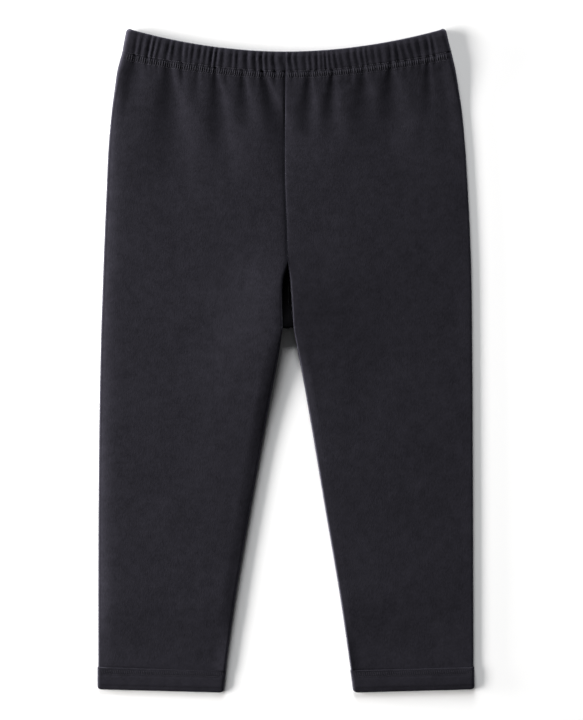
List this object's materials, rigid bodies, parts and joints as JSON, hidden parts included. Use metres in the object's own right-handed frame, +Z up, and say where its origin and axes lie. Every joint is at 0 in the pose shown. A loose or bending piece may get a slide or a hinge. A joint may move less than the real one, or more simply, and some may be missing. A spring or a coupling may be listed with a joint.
{
  "type": "leggings",
  "caption": "Small child's pull-on leggings in charcoal brushed jersey, laid flat: gathered elastic waist casing, centre seam, narrow tapered legs with turned hems.",
  "frame": {"origin": "centre of the garment's bounding box, on the surface it lies on", "axes": "+X towards the wearer's left, +Y from the ankles to the waist, +Z up out of the front of the garment"},
  "size_m": [0.2447, 0.4303, 0.0069],
  "materials": {
    "jersey": "brushed charcoal stretch jersey, matt with a soft nap"
  },
  "bodies": {
    "root": {"leg_right": "jersey", "leg_left": "jersey", "waistband": "jersey", "hem_right": "jersey", "hem_left": "jersey"}
  },
  "joints": []
}
